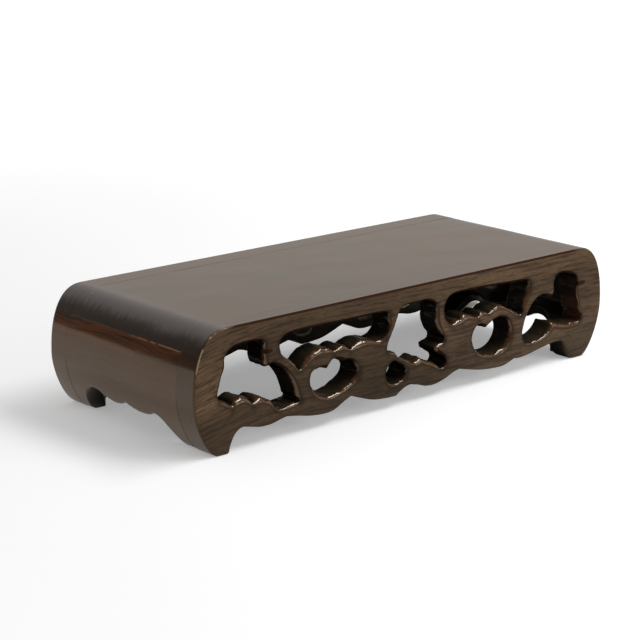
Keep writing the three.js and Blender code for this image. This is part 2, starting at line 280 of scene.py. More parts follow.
class StandShape(bpy.types.PropertyGroup):
    """Sizes of the carved and rounded edges."""

    lip_width: length("Lip Width", "Mean width of the rounded lip round an opening", 3.2 * MM)
    lip_lean: length(
        "Lip Lean", "How much wider a lip is under and right of an opening", 1.4 * MM
    )
    lip_blur: length("Lip Blur", "Length over which a lip's foot smooths the scallops", 3.0 * MM)
    corner_blur: length("Corner Blur", "Length over which carved corners are softened", 0.35 * MM)
    edge_width: length("Edge Width", "Rounding along a panel's top and lower edges", 1.35 * MM)
    end_edge_extra: length("End Edge Extra", "Added rounding round the scroll ends", 0.15 * MM)
    back_edge_width: length("Back Edge Width", "Rounding on the hidden side", 0.9 * MM)
    foot_edge_width: length("Foot Edge Width", "Rounding of the feet's inner sides", 3.2 * MM)
    tool_marks: length("Tool Marks", "Height of the carver's ripples on the lips", 0.26 * MM)
    groove_depth: length("Groove Depth", "Depth of the grooves between scallops", 0.8 * MM)
    seam: length("Seam", "Width of the fine line between two boards", 0.01 * MM)
    seam_edge: length("Seam Edge", "Rounding of boards and panels along a seam", 0.03 * MM)
    joint_edge: length("Joint Edge", "Rounding of the boards at the joint under a roll", 0.3 * MM)
    waviness: length("Waviness", "Height of the hand-scraped waves on the boards", 0.1 * MM)


class StandColours(bpy.types.PropertyGroup):
    """Colours of the woods, and of the light and shade painted on them."""

    panel: colour("Panel", "Face of the carved panels", srgb(76, 58, 41))
    # Painted light on the brighter-lit left end and right half of the faces
    panel_lit: colour("Panel Pale", "Paler ends of the panels' faces", srgb(108, 84, 61))
    panel_streak: colour("Panel Streak", "Dark grain lines of the panels", srgb(40, 30, 22))
    lip: colour("Lip", "Polished lips round the openings", srgb(74, 49, 30))
    # Painted shade on the walls inside the openings and on the hidden faces
    wall: colour("Wall", "Walls inside the openings and hidden faces", srgb(24, 17, 13))
    # Painted light on the openings' walls that face up
    wall_lit: colour("Wall Top", "Openings' walls that face up", srgb(58, 50, 38))
    # Painted shade on the rounding of the panels' top edges
    rim: colour("Rim", "Dark line along the panels' top edges", srgb(53, 34, 22))
    # Painted shade inside the short cuts
    incised: colour("Incised", "Short cuts beside the openings", srgb(34, 13, 6))
    fleck: colour("Fleck", "Pale flecks on the rolls", srgb(158, 148, 142))
    board: colour("Board", "Top board", srgb(74, 50, 32))
    board_streak: colour("Board Streak", "Dark grain lines of the boards", srgb(46, 33, 26))
    end_grain: colour("End Grain", "Dark end grain on the rolled ends", srgb(46, 33, 34))
    # Painted sheen on the upper part of the rolls
    roll_sheen: colour("Rubbed Roll", "Rubbed upper part of the rolls", srgb(92, 83, 86))
    end_strip: colour("End Strip", "End surfaces of the front panel", srgb(62, 40, 27))
    band: colour("Band", "Orange-brown figure of the end boards", srgb(96, 52, 24))
    # Painted highlight along the end boards' upper edge under the roll
    arris_glint: colour("Arris", "Rubbed upper edge of the end boards", srgb(150, 96, 56))
    # Painted highlight glints on the panels' shoulder edges
    edge_glint: colour("Worn", "Rubbed edges", srgb(176, 150, 120))
    bare: colour("Bare Wood", "Dowels and tongues", srgb(176, 138, 92))
    bare_streak: colour("Bare Streak", "Grain lines of the bare wood", srgb(128, 92, 56))


class StandSettings(bpy.types.PropertyGroup):
    """All settings of the stand."""

    shape: PointerProperty(type=StandShape)
    colours: PointerProperty(type=StandColours)


# Curves


def spline(points):
    """Uniform Catmull-Rom curve through the points, its end points counted twice.

    Between points b and c, with neighbours a and d, at share t: the cubic whose ends are b and
    c and whose end slopes are (c - a) / 2 and (d - b) / 2.
    """
    p = np.asarray(points, float)
    q = np.vstack([p[:1], p, p[-1:]])
    a, b, c, d = (q[i:len(q) - 3 + i, None] for i in range(4))
    t = np.linspace(0, 1, SPLINE_STEPS, endpoint=False)[None, :, None]
    slope_b, slope_c = (c - a) / 2, (d - b) / 2
    cubic = (2 * (b - c) + slope_b + slope_c) * t**3
    square = (3 * (c - b) - 2 * slope_b - slope_c) * t**2
    return (cubic + square + slope_b * t + b).reshape(-1, 2)


def through(runs):
    """The runs joined to one curve, each starting where the last one ended."""
    starts = [[]] + [run[-1:] for run in runs[:-1]]
    return np.vstack([spline(start + run) for start, run in zip(starts, runs)]) * MM


def end_x(z):
    """Half of the stand's length at height z.

    A superellipse quarter reaching out from the shoulder above the widest height, and another
    one below it: reach * (1 - share of the rise ** fullness) ** (1 / fullness).
    """
    up = np.clip((z - WIDEST_HEIGHT) / (HEIGHT - WIDEST_HEIGHT), 0, 1)
    down = np.clip((WIDEST_HEIGHT - z) / WIDEST_HEIGHT, 0, 1)
    shoulder = SHOULDER_REACH * (1 - up**SHOULDER_FULLNESS) ** (1 / SHOULDER_FULLNESS)
    tuck = TUCK_REACH * (1 - down**TUCK_FULLNESS) ** (1 / TUCK_FULLNESS)
    return HALF_LENGTH - SHOULDER_REACH - TUCK_REACH + shoulder + tuck


def end_curve(low, high, steps):
    """Points of the +X end profile from height low up to height high.

    Heights are spread as the sine power of the superellipse, so that they gather where the
    curve turns level.
    """
    rise = HEIGHT - WIDEST_HEIGHT

    def angle(z):
        above = np.arcsin(max(z - WIDEST_HEIGHT, 0) / rise)
        below = np.arcsin(max(WIDEST_HEIGHT - z, 0) / WIDEST_HEIGHT)
        return above - below

    angles = np.linspace(angle(low), angle(high), steps)
    z = WIDEST_HEIGHT + np.where(angles > 0, rise, WIDEST_HEIGHT) * np.sin(angles)
    return np.column_stack([end_x(z), z])


def resampled(loop, step):
    """The closed loop at equal steps along its length."""
    closed = np.vstack([loop, loop[:1]])
    gone = np.concatenate([[0], np.cumsum(np.linalg.norm(np.diff(closed, axis=0), axis=1))])
    along = np.linspace(0, gone[-1], max(int(gone[-1] / step), 8), endpoint=False)
    return np.column_stack([np.interp(along, gone, closed[:, i]) for i in range(loop.shape[1])])


def smoothed(values, width):
    """Gaussian blur of that width round a closed loop of values at FINE_STEP.

    Each Fourier term of frequency f is scaled by exp(-2 (pi f width)^2).
    """
    frequency = np.fft.rfftfreq(len(values), FINE_STEP)
    gain = np.exp(-2 * (np.pi * frequency * width) ** 2)
    return np.fft.irfft((np.fft.rfft(values, axis=0).T * gain).T, len(values), axis=0)


def wood_normals(loop):
    """Unit normals on the left of the loop, where the wood is."""
    along = np.roll(loop, -1, 0) - np.roll(loop, 1, 0)
    along /= np.linalg.norm(along, axis=1, keepdims=True)
    return np.column_stack([-along[:, 1], along[:, 0]])


def eased_normals(ring):
    """The mean of the wood normals at each point and its two neighbours each way."""
    normals = wood_normals(ring)
    return sum(np.roll(normals, step, 0) for step in (-2, -1, 0, 1, 2)) / 5


def signed_area(loop):
    """Half the sum of the cross products of neighbours, positive when anticlockwise."""
    after = np.roll(loop, -1, 0)
    return ((loop[:, 0] * after[:, 1] - after[:, 0] * loop[:, 1]).sum()) / 2


def turned(loop, anticlockwise):
    """The loop in that sense of turning."""
    return loop if (signed_area(loop) > 0) == anticlockwise else loop[::-1]


def ripple(points, wavelength, seed):
    """Smooth noise of about unit size: plane waves in random directions with random phases."""
    waves = 28
    random = np.random.default_rng(seed)
    directions = random.normal(size=(waves, 3))
    directions /= np.linalg.norm(directions, axis=1, keepdims=True)
    pitch = 2 * np.pi / wavelength * random.uniform(0.6, 1.5, waves)
    phases = random.uniform(0, 2 * np.pi, waves)
    sums = np.sin(points @ (directions * pitch[:, None]).T + phases).sum(-1)
    return sums * math.sqrt(2 / waves)


# Meshes


def add_object(name, data, place=None):
    """A new object of that data in the scene, stood at the matrix place if one is given."""
    made = bpy.data.objects.new(name, data)
    if place is not None:
        made.matrix_world = place
    bpy.context.scene.collection.objects.link(made)
    return made


def band_faces(first, rings, count):
    """Quads between rings of count points each, laid one after another from index first."""
    ring, i = np.meshgrid(np.arange(rings - 1), np.arange(count), indexing="ij")
    here = first + ring * count
    after = (i + 1) % count
    corners = [here + i, here + count + i, here + count + after, here + after]
    return np.stack(corners, -1).reshape(-1, 4)


def inside(points, loops):
    """Which points lie inside the loops taken together: an odd number of edges to the right."""
    starts = np.vstack(loops)
    ends = np.vstack([np.roll(loop, -1, 0) for loop in loops])
    x, z = points[:, :1], points[:, 1:]
    spans = (starts[:, 1] > z) != (ends[:, 1] > z)
    rise = np.where(ends[:, 1] == starts[:, 1], 1, ends[:, 1] - starts[:, 1])
    crossing = starts[:, 0] + (z - starts[:, 1]) / rise * (ends[:, 0] - starts[:, 0])
    return (spans & (crossing > x)).sum(1) % 2 == 1


def flat_fill(loops, step):
    """Delaunay triangles of the first loop's area without the other loops' areas.

    Points on a slanted grid are added. Gives them, and anticlockwise triangles that count the
    loops' own points first. A triangle in a hole belongs to two of the loops.
    """
    rim = np.vstack(loops)
    low, high = rim.min(0), rim.max(0)
    columns = np.arange(low[0] + step / 2, high[0], step)
    rows = np.arange(low[1] + step / 2, high[1], step * 0.87)
    x, z = np.meshgrid(columns, rows)
    x = x + (np.arange(len(rows)) % 2)[:, None] * step / 2
    grid = np.column_stack([x.ravel(), z.ravel()])
    grid = grid[inside(grid, loops)]
    gap = np.array([np.min((rim[:, 0] - p[0]) ** 2 + (rim[:, 1] - p[1]) ** 2) for p in grid])
    grid = grid[gap > (0.55 * step) ** 2] if len(grid) else grid.reshape(0, 2)
    points = np.vstack([rim, grid])
    starts = np.cumsum([0] + [len(loop) for loop in loops])
    areas = [
        (start + np.arange(len(loop)))[::1 if signed_area(loop) > 0 else -1].tolist()
        for start, loop in zip(starts, loops)
    ]
    flat_points = [Vector(p) for p in points.tolist()]
    only_inside = 1
    found = delaunay_2d_cdt(flat_points, [], areas, only_inside, SAME_POINT)
    if len(found[0]) != len(points):
        raise RuntimeError("the edges of a flat face cross")
    triangles = np.array(found[2])[[len(owners) == 1 for owners in found[5]]]
    a, b, c = (points[triangles[:, i]] for i in range(3))
    turn = (b[:, 0] - a[:, 0]) * (c[:, 1] - a[:, 1]) - (b[:, 1] - a[:, 1]) * (c[:, 0] - a[:, 0])
    triangles[turn < 0] = triangles[turn < 0][:, ::-1]
    return grid, triangles


# Per-point marks of a mesh: how far a carved edge has turned, how deep in a groove between
# scallops, how much an opening's wall faces up, how much it faces as the widest lips do, and
# whether a board's surface is hidden
MARKS = ("carved", "hollow", "upward", "leaning", "hidden")


class Shell:
    """The points, faces and per-point marks of one closed mesh, gathered as whole arrays."""

    def __init__(self):
        self.points = []
        self.faces = []
        self.marks = {name: [] for name in MARKS}
        self.count = 0

    def add_points(self, points, **marks):
        """Adds points of shape (..., 3) with their marks, and gives the index of the first."""
        flat = points.reshape(-1, 3)
        self.points.append(flat)
        for name in MARKS:
            values = np.broadcast_to(marks.get(name, 0.0), points.shape[:-1])
            self.marks[name].append(values.reshape(-1))
        self.count += len(flat)
        return self.count - len(flat)

    def add_band(self, rings, **marks):
        """Adds rings of shape (rings, points, 3), deeper in Y one by one, and their quads.

        Gives the indices of the first and last ring.
        """
        first = self.add_points(rings, **marks)
        count = rings.shape[1]
        self.faces.extend(band_faces(first, len(rings), count).tolist())
        last = first + (len(rings) - 1) * count
        return first + np.arange(count), last + np.arange(count)

    def add_flat(self, indices, y, facing, step):
        """Closes the flat area at depth y between rings of known points, facing -1 or +1 in Y."""
        known = np.vstack(self.points)
        loops = [known[ring][:, [0, 2]] for ring in indices]
        grid, triangles = flat_fill(loops, step)
        lifted = np.column_stack([grid[:, 0], np.full(len(grid), y), grid[:, 1]])
        first = self.add_points(lifted)
        index = np.concatenate([*indices, first + np.arange(len(grid))])[triangles]
        self.faces.extend((index if facing < 0 else index[:, ::-1]).tolist())

    def add_socket(self, x, z, mouth, bottom):
        """A blind dowel hole along Y, from its mouth to its bottom. Gives its mouth's indices."""
        angles = -np.linspace(0, 2 * np.pi, DOWEL_HOLE_SIDES, endpoint=False)
        depths = np.array(sorted([mouth, bottom]))[:, None] + 0 * angles
        rings = np.stack([
            x + DOWEL_HOLE_RADIUS * np.cos(angles) + 0 * depths,
            depths,
            z + DOWEL_HOLE_RADIUS * np.sin(angles) + 0 * depths,
        ], -1)
        shallow, deep = self.add_band(rings)
        at_mouth, at_bottom = (shallow, deep) if mouth < bottom else (deep, shallow)
        middle = self.add_points(np.array([[x, bottom, z]]))
        fan = np.column_stack([np.full(len(at_bottom), middle), np.roll(at_bottom, -1), at_bottom])
        self.faces.extend((fan if mouth < bottom else fan[:, ::-1]).tolist())
        return at_mouth

    def piece(self, name, place=None):
        """Makes the mesh object, its points moved by the function place, shaded smooth."""
        points = np.vstack(self.points)
        points = points if place is None else place(points)
        mesh = bpy.data.meshes.new(name)
        mesh.from_pydata(points.tolist(), [], self.faces)
        mesh.validate()
        mesh.shade_smooth()
        for mark, values in self.marks.items():
            layer = mesh.attributes.new(mark, "FLOAT", "POINT")
            layer.data.foreach_set("value", np.concatenate(values).astype(np.float32))
        return add_object(name, mesh)


# The carved panels


def panel_outline():
    """A panel's outer edge, anticlockwise from the front: apron, right end, top, left end."""
    right = end_curve(0, HEIGHT, PROFILE_STEPS)
    left = right[::-1] * [-1, 1]
    return turned(np.vstack([through(APRON), right, left]), True)


def free_room(loops, normals):
    """The radius of the largest circle in the wood that touches the edge at each point.

    Over all other edge points q seen from p with normal n it is the least of
    |q - p|^2 / (2 n.(q - p)).
    """
    coarse = [loop[::ROOM_STRIDE] for loop in loops]
    others = np.vstack(coarse)
    rooms = []
    for loop, part, normal in zip(loops, coarse, normals):
        away = others[None] - part[:, None]
        ahead = (away * normal[::ROOM_STRIDE][:, None]).sum(-1)
        reach = (away**2).sum(-1) / np.maximum(2 * ahead, 1e-9)
        least = np.where(ahead > 1e-6, reach, np.inf).min(1)
        places, every = np.arange(len(part)) * ROOM_STRIDE, np.arange(len(loop))
        rooms.append(np.interp(every, places, np.minimum(least, 1), period=len(loop)))
    return rooms


def lip_feet(loops, blur, wanted, most_sink):
    """Where the rounding of each edge meets the flat face, as loops beside the edges.

    Each point moves into the wood by the wanted width, plus how far the blurred edge lies
    behind the sharp one, so that scallops fade towards the foot. It stays within the free room.
    """
    blurred = [smoothed(loop, blur) for loop in loops]
    normals = [wood_normals(loop) for loop in blurred]
    rooms = free_room(blurred, normals)
    feet = []
    for loop, soft, normal, room, width in zip(loops, blurred, normals, rooms, wanted(normals)):
        sunk = ((soft - loop) * normal).sum(1)
        wished = width + np.clip(sunk, -width / 2, most_sink)
        inset = smoothed(np.minimum(wished, sunk + ROOM_SHARE * room), blur / 2)
        feet.append(smoothed(loop + normal * inset[:, None], blur / 2))
    return feet


def evenly(edges, *others):
    """All loops of one edge at the same places, close enough for the longest of them."""
    strides = [np.linalg.norm(np.roll(loop, -1, 0) - loop, axis=1) for loop in (edges, *others)]
    gone = np.concatenate([[0], np.cumsum(np.max(strides, axis=0))])
    count = int(np.ceil(gone[-1] / EDGE_STEP))
    places = np.interp(np.linspace(0, gone[-1], count, endpoint=False), gone, np.arange(len(gone)))
    old = np.arange(len(edges))
    return [
        np.column_stack([np.interp(places, old, loop[:, i], period=len(edges)) for i in range(2)])
        for loop in (edges, *others)
    ]


def rounded_edge(edge, foot, rings, fullness):
    """Shares of a rounding from the face (0) to the wall (1), as (across, deep, turn).

    A superellipse quarter: across falls from 1 to 0 as 1 - sin^(2/f), deep grows as 1 - cos^(2/f).
    """
    turn = np.linspace(0, np.pi / 2, rings)
    across = 1 - np.sin(turn) ** (2 / fullness)
    deep = 1 - np.cos(turn).clip(0) ** (2 / fullness)
    return across[:, None, None] * (foot - edge)[None] + edge[None], deep, turn


def panel_shell(shape, dowel_places):
    """A whole panel, its carved outer face at Y = 0 and its inner face at PANEL_THICKNESS.

    Along each edge a profile is carried: a superellipse lip from the face to the wall, the wall,
    and a small rounding to the inner face. Waves of the carver's tool ride on lip and wall.
    """
    shell = Shell()
    loops = [panel_outline()] + [turned(through(runs), False) for runs in OPENINGS]
    loops = [smoothed(resampled(loop, FINE_STEP), shape.corner_blur) for loop in loops]

    # The inner side of each foot is rounded more
    reach, height = np.abs(loops[0]).T
    foot_side = ((FOOT_SIDE_HEIGHT - height) / FOOT_SIDE_FADE).clip(0, 1)
    foot_side = foot_side * (reach > FOOT_SIDE_FROM) * ((FOOT_SIDE_TO - reach) / MM).clip(0, 1)

    def front_widths(normals):
        outer = shape.edge_width + shape.end_edge_extra * np.abs(normals[0][:, 0]) ** 2
        outer = outer + (shape.foot_edge_width - outer) * foot_side * FOOT_SIDE_FRONT
        lips = [
            (shape.lip_width - shape.lip_lean * (n @ LIP_WAY)) * (1 - n[:, 0] ** 2 * (1 - share))
            for n, share in zip(normals[1:], SIDE_LIPS)
        ]
        return [outer] + lips

    def back_widths(normals):
        free = normals[0][:, 1].clip(0, 1) ** 0.5
        outer = shape.seam_edge + (shape.back_edge_width - shape.seam_edge) * free
        outer = outer + (shape.foot_edge_width - outer) * foot_side
        return [outer] + [np.full(len(n), shape.back_edge_width) for n in normals[1:]]

    outer_feet = lip_feet(loops, shape.edge_width, front_widths, most_sink=1 * MM)
    lip_lines = lip_feet(loops, shape.lip_blur, front_widths, most_sink=4 * MM)
    back_lines = lip_feet(loops, shape.back_edge_width, back_widths, most_sink=1 * MM)
    front_rings, back_rings = [], []
    for number, (loop, back_line) in enumerate(zip(loops, back_lines)):
        opening = number > 0
        line = lip_lines[number] if opening else outer_feet[0]
        edge, foot, back_foot, soft = evenly(loop, line, back_line, smoothed(loop, shape.lip_blur))
        widths = np.linalg.norm(foot - edge, axis=1)
        depth = np.minimum(widths, MOST_LIP_DEPTH)
        fullness = LIP_FULLNESS if opening else EDGE_FULLNESS
        lip, deep, turn = rounded_edge(edge, foot, LIP_RINGS, fullness)
        hollow = (((edge - soft) * wood_normals(soft)).sum(1) / shape.groove_depth).clip(0, 1)
        hollow = hollow * (1 if opening else 0)
        back, _, back_turn = rounded_edge(edge, back_foot, BACK_RINGS, BACK_FULLNESS)
        back_size = np.linalg.norm(back_foot - edge, axis=1)
        back_start = PANEL_THICKNESS - back_size
        # A wall ring close to each rounding keeps the wall's shading straight
        share = np.concatenate([[0.02], np.linspace(0, 1, WALL_RINGS)[1:-1], [0.98]])
        wall_y = depth + (back_start - depth) * share[:, None]
        y = np.concatenate([
            depth * deep[:, None],
            wall_y,
            back_start + back_size * np.cos(back_turn[::-1])[:, None],
        ])
        flat = np.concatenate([lip, np.repeat(edge[None], WALL_RINGS, 0), back[::-1]])
        rings = np.stack([flat[..., 0], y, flat[..., 1]], -1)
        outward = -wood_normals(edge)
        turns = np.concatenate([turn, np.full(WALL_RINGS + BACK_RINGS, np.pi / 2)])
        sideways = np.sin(turns)[:, None, None] * outward[None]
        forward = -np.cos(turns)[:, None, None] + 0 * sideways[..., :1]
        aim = np.concatenate([sideways, forward], -1)
        strength = np.concatenate([
            np.sin(turn) ** 2.2, np.ones(WALL_RINGS), np.linspace(1, 0, BACK_RINGS)
        ]) * (shape.tool_marks if opening else 0)
        waves = sum(ripple(rings, wavelength, seed) * part for wavelength, part, seed in RIPPLES)
        push = ((waves - hollow * 2) * strength[:, None])[..., None]
        rings = rings + push * aim[..., [0, 2, 1]]
        rings[..., 1] = rings[..., 1].clip(0, PANEL_THICKNESS)
        carved = np.concatenate([turn / (np.pi / 2), np.ones(WALL_RINGS), np.ones(BACK_RINGS)])
        carved = carved[:, None] * (1 if opening else -1) + 0 * widths
        facing = {"upward": outward[:, 1].clip(0, 1), "leaning": outward @ LIP_WAY}
        first, last = shell.add_band(rings, carved=carved, hollow=hollow, **facing)
        front_rings.append(first)
        back_rings.append(last)
    shell.add_flat(front_rings, 0, -1, FACE_STEP)
    bottom = PANEL_THICKNESS - DOWEL_HOLE_REACH
    sockets = [shell.add_socket(x, z, PANEL_THICKNESS, bottom) for x, z in dowel_places]
    shell.add_flat(back_rings + sockets, PANEL_THICKNESS, 1, FACE_STEP * 2)
    return shell


def dowel_middles(prefix):
    """[x, z] of each dowel whose node name starts with prefix, from the frame."""
    names = [name for name in sorted(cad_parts) if name.startswith(prefix) and "dowel" in name]
    middles = [(low + high) / 2 for low, high in map(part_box, names)]
    return [(middle.x, middle.z) for middle in middles]


# Shader nodes


def arithmetic(operation, reflected=False):
    """A method of Value that adds one Math node, its two terms swapped if reflected."""

    def method(self, *other):
        terms = (*other, self) if reflected else (self, *other)
        return self.nodes.add("ShaderNodeMath", {"operation": operation}, dict(enumerate(terms)))

    return method


class Value:
    """A number that changes over a surface. Arithmetic on it adds Math nodes."""

    def __init__(self, nodes, socket):
        self.nodes = nodes
        self.socket = socket

    __add__ = __radd__ = arithmetic("ADD")
    __mul__ = __rmul__ = arithmetic("MULTIPLY")
    __sub__ = arithmetic("SUBTRACT")
    __rsub__ = arithmetic("SUBTRACT", reflected=True)
    __truediv__ = arithmetic("DIVIDE")
    __rtruediv__ = arithmetic("DIVIDE", reflected=True)
    __abs__ = arithmetic("ABSOLUTE")
    larger = arithmetic("MAXIMUM")
    smaller = arithmetic("MINIMUM")


class Nodes:
    """The nodes of one material or world."""

    def __init__(self, tree):
        self.tree = tree
        self.tree.nodes.clear()

    def add(self, kind, settings=None, inputs=None, output=0):
        """A node of that kind: its settings first, then its sockets' values or links."""
        node = self.tree.nodes.new(kind)
        for name, value in (settings or {}).items():
            setattr(node, name, value)
        for name, value in (inputs or {}).items():
            socket = node.inputs[name]
            if isinstance(value, Value):
                self.tree.links.new(value.socket, socket)
            elif value is not None:
                socket.default_value = value
        return Value(self, node.outputs[output]) if node.outputs else node

    def coordinates(self):
        """The piece's own coordinates, in metres."""
        return self.add("ShaderNodeTexCoord", output="Object")

    def part(self, vector, axis):
        """One coordinate of a vector."""
        return self.add("ShaderNodeSeparateXYZ", inputs={"Vector": vector}, output=axis)

    def vector(self, operation, *terms, output=0):
        """One Vector Math node of that operation on the terms."""
        inputs = dict(enumerate(terms))
        return self.add("ShaderNodeVectorMath", {"operation": operation}, inputs, output)

    def noise(self, vector, scale, detail=2.0, roughness=0.5, distortion=0.0):
        """Noise from 0 to 1 whose cells are 1 / scale metres along each axis."""
        scaled = self.add("ShaderNodeMapping", inputs={"Vector": vector, "Scale": scale})
        inputs = {
            "Vector": scaled, "Scale": 1.0, "Detail": detail, "Roughness": roughness,
            "Distortion": distortion,
        }
        return self.add("ShaderNodeTexNoise", inputs=inputs)

    def ramp(self, value, low, high, start=0.0, end=1.0):
        """Smooth step from start to end as the value goes from low to high."""
        inputs = {"Value": value, "From Min": low, "From Max": high, "To Min": start, "To Max": end}
        return self.add("ShaderNodeMapRange", {"interpolation_type": "SMOOTHSTEP"}, inputs)

    def blend(self, share, first, second, mode="MIX"):
        """Colour mix of first and second by share."""
        settings = {"data_type": "RGBA", "blend_type": mode}
        first = first if isinstance(first, Value) else (*first, 1.0)
        second = second if isinstance(second, Value) else (*second, 1.0)
        return self.add("ShaderNodeMix", settings, {0: share, 6: first, 7: second}, output=2)

    def shaded(self, tone, light):
        """The colour times a number."""
        grey = self.add("ShaderNodeCombineXYZ", inputs={0: light, 1: light, 2: light})
        return self.blend(1.0, tone, grey, "MULTIPLY")

    def bent(self, vector, amount, scale, shift_axis):
        """The vector pushed along one axis by noise of that scale, as grain bends."""
        push = (self.noise(vector, scale, 1.0) - 0.5) * amount
        offset = self.add("ShaderNodeCombineXYZ", inputs={shift_axis: push})
        return self.vector("ADD", vector, offset)

    def mark(self, name):
        """A mesh's own per-point number."""
        return self.add("ShaderNodeAttribute", {"attribute_name": name}, output="Fac")

    def bump(self, height, strength, distance):
        """Normal of a bumped surface."""
        inputs = {"Height": height, "Strength": strength, "Distance": distance}
        return self.add("ShaderNodeBump", inputs=inputs)

    def wood(self, tone, roughness, gloss, normal):
        """A Principled shader of that colour and roughness. Gloss is its specular level."""
        inputs = {
            "Base Color": tone, "Roughness": roughness, "Normal": normal,
            "Specular IOR Level": gloss, "Specular Tint": WARM_GLOSS,
        }
        return self.add("ShaderNodeBsdfPrincipled", inputs=inputs)

    def mixed(self, share, first, second):
        """First shader, with second over it by share."""
        return self.add("ShaderNodeMixShader", inputs={0: share, 1: first, 2: second})

    def surface(self, shader):
        """Ends the material in that shader."""
        self.add("ShaderNodeOutputMaterial", inputs={"Surface": shader})


def material(name):
    """A new node material and its nodes."""
    made = bpy.data.materials.new(name)
    made.use_nodes = True
    return made, Nodes(made.node_tree)


def grain(nodes, place, along, across, bend):
    """Grain along X: broad tone, lines and pores, each from 0 to 1."""
    bowed = nodes.bent(place, bend, (7, 30, 26), "Z")
    broad = nodes.noise(bowed, (9, across * 0.12, across * 0.12), 2.0)
    lines = nodes.noise(bowed, (along, across, across), 3.0, 0.6, 0.3)
    fine = nodes.noise(bowed, (along * 3.5, across * 3.2, across * 3.2), 2.0, 0.55)
    return broad, lines, fine


def upper_wood(nodes, place, colours):
    """Colour of the top and its rolls, the same across the board and the panels' edges.

    The rolls show dark end grain, with a painted sheen that greys them near the top.
    """
    reach, z = abs(nodes.part(place, "X")), nodes.part(place, "Z")
    broad, lines, fine = grain(nodes, place, 12, 300, 4 * MM)
    tone = nodes.blend(nodes.ramp(lines, 0.45, 0.7) * 0.6, colours.board, colours.board_streak)
    tone = nodes.shaded(tone, nodes.ramp(broad, 0.3, 0.7, 0.85, 1.15))
    # Streaks run down the roll, short and slightly slanted
    speck = nodes.noise(place, (1100, 900, 1100), 1.0, 0.5)
    smear = nodes.noise(place, (90, 420, 90), 3.0, 0.6, 0.5)
    cloud = nodes.noise(place, (60, 45, 60), 2.0, 0.5)
    rolled = nodes.blend(nodes.ramp(speck, 0.3, 0.7), colours.end_grain, colours.board_streak)
    # Painted sheen: the rolls grey towards the top, where they turn level, along a ragged line
    height = z + (smear - 0.5) * (9 * MM) + (cloud - 0.5) * (7 * MM)
    roll_sheen = nodes.ramp(height, 67 * MM, 73.5 * MM)
    rolled = nodes.blend(roll_sheen * 0.8, rolled, colours.roll_sheen)
    fleck = nodes.noise(place, (420, 260, 420), 2.0, 0.6)
    flecks = nodes.ramp(fleck, 0.71, 0.75) * nodes.ramp(z, 65 * MM, 69 * MM)
    rolled = nodes.blend(flecks * 0.55, rolled, colours.fleck)
    on_roll = nodes.ramp(reach + (smear - 0.5) * (10 * MM), 146 * MM, 162 * MM)
    return nodes.blend(on_roll, tone, rolled), on_roll


def side_wood(nodes, place, colours):
    """Colour of the end boards' outer sides: orange-brown, dark figure strongest near the top."""
    z = nodes.part(place, "Z")
    bowed = nodes.bent(nodes.bent(place, 10 * MM, (24, 20, 40), "Z"), 4 * MM, (70, 55, 110), "Z")
    figured = nodes.noise(bowed, (60, 16, 420), 4.0, 0.62, 0.6)
    vein = nodes.noise(bowed, (80, 26, 900), 2.0, 0.6, 0.4)
    uneven = nodes.noise(place, (9, 36, 36), 2.0)
    # Painted reflection: below about 50 mm the orange and the figure fade, as the pale floor's
    # reflection washes them out
    strong = nodes.ramp(z + (uneven - 0.5) * (10 * MM), 44 * MM, 56 * MM, 0.25, 1.0)
    side = nodes.blend(strong, colours.board, colours.band)
    side = nodes.blend(nodes.ramp(figured, 0.42, 0.66) * strong, side, colours.board_streak)
    return nodes.blend(nodes.ramp(vein, 0.55, 0.72) * strong * 0.6, side, colours.board_streak)


def polished(nodes, place, tone, on_roll):
    """The boards' polish, also on the panels' end and top edges so that the seams stay quiet."""
    z = nodes.part(place, "Z")
    broad, lines, fine = grain(nodes, place, 12, 300, 4 * MM)
    pores = nodes.noise(place, (260, 900, 900), 2.0, 0.6)
    on_top = nodes.ramp(z, JOINT_HEIGHT - 0.2 * MM, JOINT_HEIGHT)
    height = lines * 0.3 + fine * 0.3 + pores * on_roll * on_top * 1.2
    roughness = nodes.ramp(broad, 0.3, 0.7, 0.1, 0.15) + on_top * 0.06 + on_roll * on_top * 0.06
    return nodes.wood(tone, roughness, 0.4, nodes.bump(height, 0.3, 0.1 * MM))


